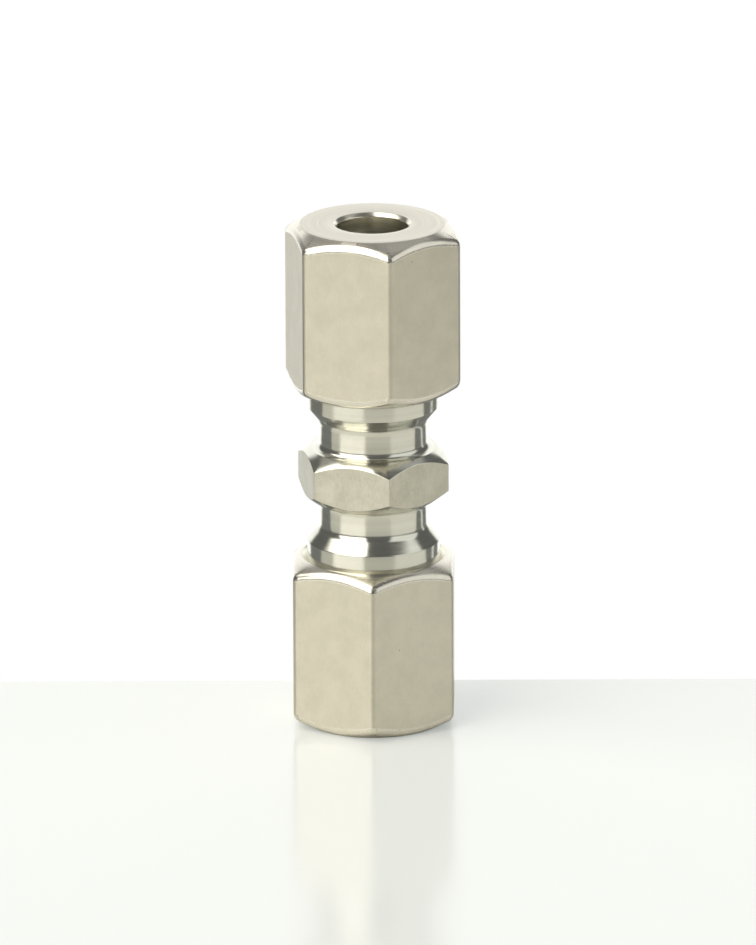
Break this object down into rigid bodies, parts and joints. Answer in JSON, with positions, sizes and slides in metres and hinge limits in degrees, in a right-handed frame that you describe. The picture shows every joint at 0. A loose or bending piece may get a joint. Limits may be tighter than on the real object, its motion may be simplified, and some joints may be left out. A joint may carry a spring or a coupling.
{
  "type": "straight tube connector",
  "caption": "Straight compression fitting that joins 6 mm tubes end to end, with a hexagon body, loose union nuts and cutting rings that grip the tubes.",
  "frame": {"origin": "middle of the body, on the axis of the tubes", "axes": "+Z along the axis of the tubes, towards the upper nut; two corners of the body's hexagon lie along Y"},
  "size_m": [0.0154, 0.016, 0.045],
  "materials": {
    "turned_steel": "satin",
    "ring_steel": "satin",
    "nut_steel": "satin"
  },
  "bodies": {
    "body": {"fitting_body": "turned_steel"},
    "ring_top": {"cutting_ring_top": "ring_steel"},
    "ring_bottom": {"cutting_ring_bottom": "ring_steel"},
    "nut_top": {"union_nut_top": "nut_steel"},
    "nut_bottom": {"union_nut_bottom": "nut_steel"}
  },
  "joints": [
    {"name": "nut_top_travel", "type": "slide", "parent": "body", "child": "ring_top", "axis": [0, 0, 1], "range_m": [0, 0.0045]},
    {"name": "nut_top_turn", "type": "hinge", "parent": "ring_top", "child": "nut_top", "pos_m": [0, 0, 0], "axis": [0, 0, 1], "range_deg": [0, 1080]},
    {"name": "nut_bottom_travel", "type": "slide", "parent": "body", "child": "ring_bottom", "axis": [0, 0, -1], "range_m": [0, 0.0045]},
    {"name": "nut_bottom_turn", "type": "hinge", "parent": "ring_bottom", "child": "nut_bottom", "pos_m": [0, 0, 0], "axis": [0, 0, -1], "range_deg": [0, 1080]}
  ],
  "couplings": [
    {"joint": "nut_top_travel", "follows": "nut_top_turn", "m_per_rad": 0.00023873},
    {"joint": "nut_bottom_travel", "follows": "nut_bottom_turn", "m_per_rad": 0.00023873}
  ]
}
